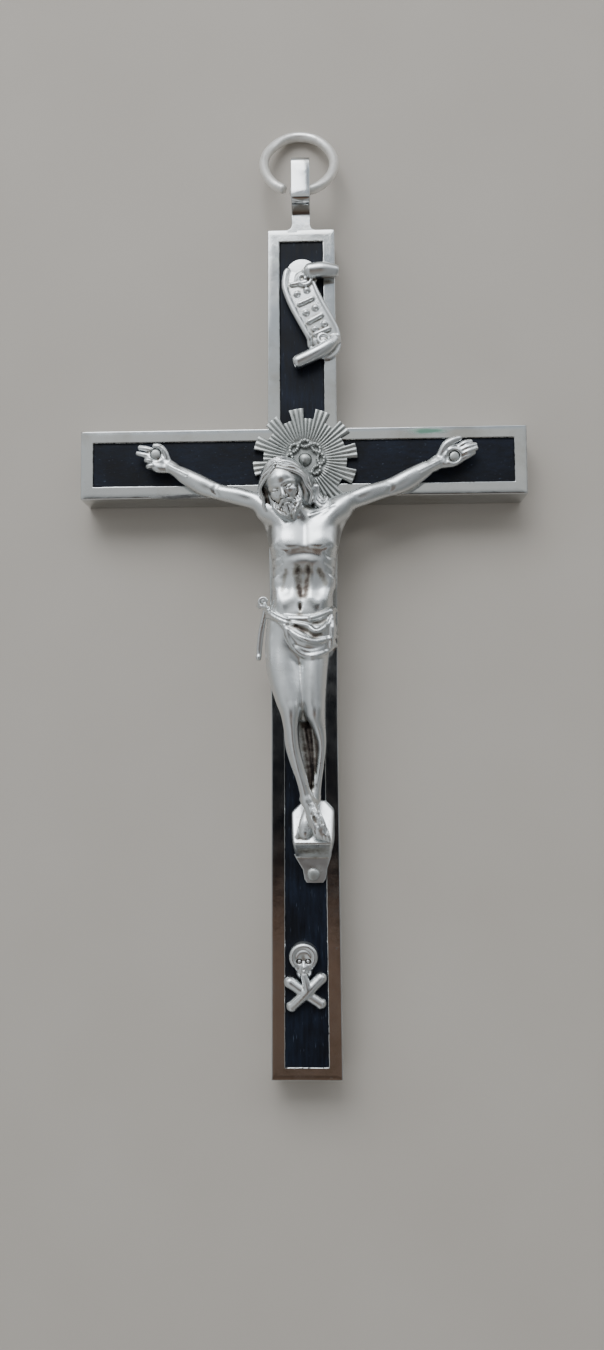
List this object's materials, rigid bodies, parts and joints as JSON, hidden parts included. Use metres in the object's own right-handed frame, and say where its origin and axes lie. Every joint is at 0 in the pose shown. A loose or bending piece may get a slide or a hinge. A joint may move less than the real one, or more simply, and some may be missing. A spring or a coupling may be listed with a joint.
{
  "type": "crucifix",
  "caption": "Hand-held or hanging crucifix: plated channel frame round a black wood cross, cast figure, halo, title scroll and emblem, with a ring in a strap eye.",
  "frame": {"origin": "on the back face where the limbs cross", "axes": "+Y up the cross towards the ring, +X to the viewer's right, +Z out of the front; the cross lies on its back"},
  "size_m": [0.0656, 0.1421, 0.0132],
  "materials": {
    "plated_frame": "worn satin nickel plate on brass strip",
    "plated_casting": "polished nickel plate on a casting, tarnished in the recesses",
    "plated_stamping": "nickel plate on stamped sheet, dulled in the flutes",
    "plated_fastener": "nickel plate, rubbed bright",
    "plated_wire": "bright nickel plate on round wire",
    "black_wood": "black stained close-grained wood, worn to a dull sheen"
  },
  "bodies": {
    "cross": {"channel_frame": "plated_frame", "upright_bar": "black_wood", "cross_bar": "black_wood", "corpus": "plated_casting", "halo": "plated_stamping", "halo_rivet": "plated_fastener", "hand_nail_left": "plated_fastener", "hand_nail_right": "plated_fastener", "foot_rivet": "plated_fastener", "title_scroll": "plated_casting", "skull_and_bones": "plated_casting"},
    "ring": {"suspension_ring": "plated_wire"}
  },
  "joints": [
    {"name": "ring_swing", "type": "hinge", "parent": "cross", "child": "ring", "pos_m": [0, 0.0406, 0.00678], "axis": [1, 0, 0], "range_deg": [-94, 192]}
  ]
}
